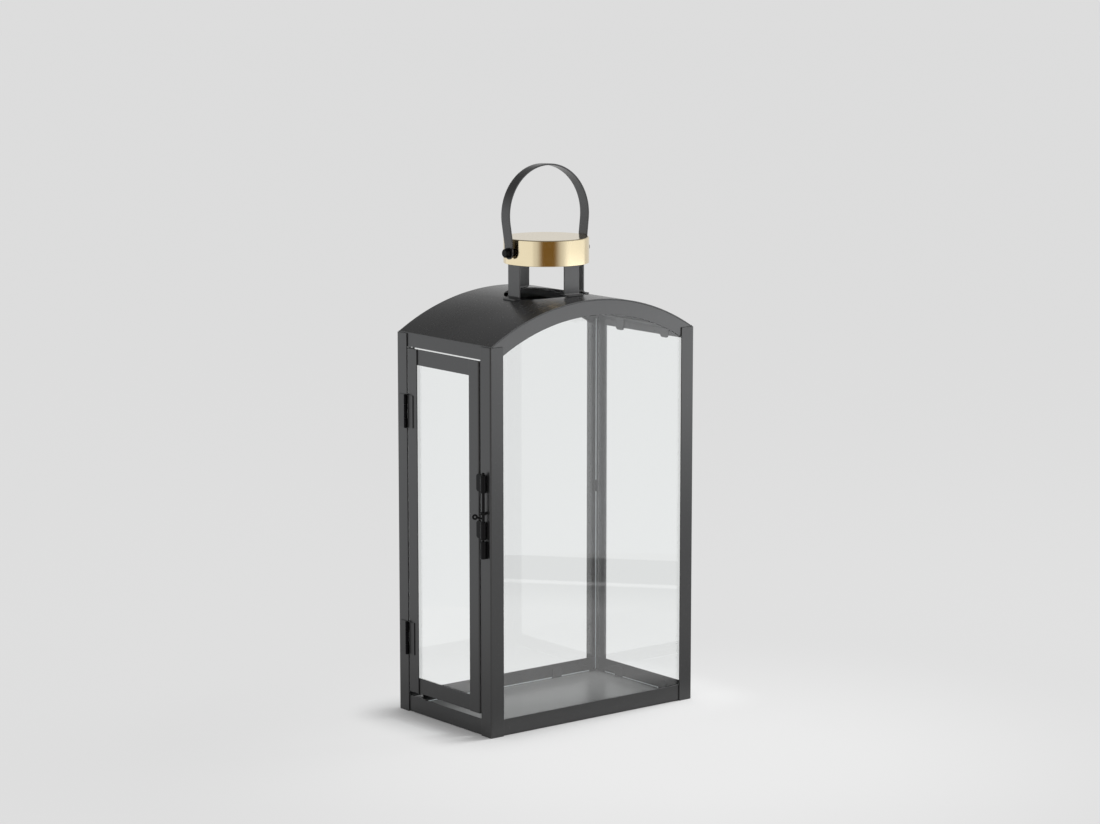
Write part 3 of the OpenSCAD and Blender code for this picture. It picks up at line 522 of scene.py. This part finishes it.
cap_r, cap_t, cap_foot, cap_top, rim_r = 0.0436, 0.0008, 0.46015, 0.48645, 0.0011
axis_r, beside_arc, top_ring_r = 0.0001, 0.0002, 0.03
inner_r, inner_top, inner_rim = cap_r - cap_t, cap_top - cap_t, 0.0003
cap_section = np.concatenate([
    [[axis_r, inner_top], [inner_r - inner_rim, inner_top], [inner_r, inner_top - inner_rim],
     [inner_r, cap_foot + cap_t]],
    arc(cap_r - cap_t / 2, cap_foot + cap_t / 2, cap_t / 2, 180, 360),
    [[cap_r, cap_foot + cap_t / 2 + beside_arc], [cap_r, cap_top - rim_r - beside_arc]],
    arc(cap_r - rim_r, cap_top - rim_r, rim_r, 0, 90),
    [[cap_r - rim_r - beside_arc, cap_top], [top_ring_r, cap_top], [axis_r, cap_top]]])
cap = spun("cap_spun", cap_section, 256)
cap.data.materials.append(brushed_brass())
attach(cap, "frame")
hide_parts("cap")

# Bail: a flat strap bent to a horseshoe, with a rounded ear punched at each end, and coated like the case. It turns
# on a screw at each side of the cap.
bail_coat = coated_steel("bail_coat", (0.022, 0.022, 0.0225), 0.27, specular=0.8)
eased(["bail_strap"], "bail", bail_coat)

# Pivot screws and their nuts, hinge pins, and the latch's sleeves, keeper and bolt: bought or turned hardware in a
# blacker finish than the case, fitted after coating.
hardware_black = coated_steel("hardware_black", (0.006, 0.006, 0.0065), 0.36, specular=0.12, drift=0.06, dust=0.02,
                              bump=0.08)
finish_nodes(["pivot_screws", "pivot_lock_nuts", "pivot_washers", "pivot_spacers", "cap_nuts", "hinge_upper_pin",
              "hinge_lower_pin", "latch_sleeve_upper", "latch_sleeve_lower", "latch_keeper", "latch_bolt"],
             hardware_black)


# Hinge leaves: stamped steel leaves, spot-welded to the post and the door before coating. Their rolled knuckles
# stand out from the leaves and stay bare black, because the pins turn in them.
def hinge_coat():
    """The case's coat on the leaves and bare black on the knuckles, which lie further out than the leaves."""
    leaf_face, knuckle_from, bare_black = -0.1320, -0.1324, (0.008, 0.008, 0.009, 1)
    material, tree, output = new_material("hinge_coat")
    coat = add_node(tree, "ShaderNodeGroup", node_tree=baked_coat)
    for key, value in (("Colour", (0.020, 0.020, 0.0205, 1)), ("Gloss Roughness", 0.36), ("Drift", 0.08),
                       ("Dust", 0.04)):
        coat.inputs[key].default_value = value
    place = add_node(tree, "ShaderNodeTexCoord").outputs["Object"]
    x = add_node(tree, "ShaderNodeSeparateXYZ", {0: place}).outputs["X"]
    knuckle = change(tree, x, leaf_face, knuckle_from, smooth=False)
    skin = add_node(tree, "ShaderNodeBsdfPrincipled", {
        "Specular IOR Level": 0.7, "IOR": 1.5,
        "Base Color": blended(tree, knuckle, coat.outputs["Colour"], bare_black, "RGBA"), "Metallic": knuckle,
        "Roughness": coat.outputs["Roughness"]})
    tree.links.new(skin.outputs["BSDF"], output.inputs["Surface"])
    return material


finish_nodes(["hinge_upper_post_leaf", "hinge_upper_door_leaf", "hinge_lower_post_leaf", "hinge_lower_door_leaf"],
             hinge_coat())

# Door: a frame of steel angle round its own pane, which clips hold from inside. It is coated with the case and hung
# on the two hinges.
eased(["door_stile_hinge", "door_stile_latch", "door_rail_top", "door_rail_bottom"], "door", charcoal)
finish_nodes(["door_glass_clips"], charcoal)
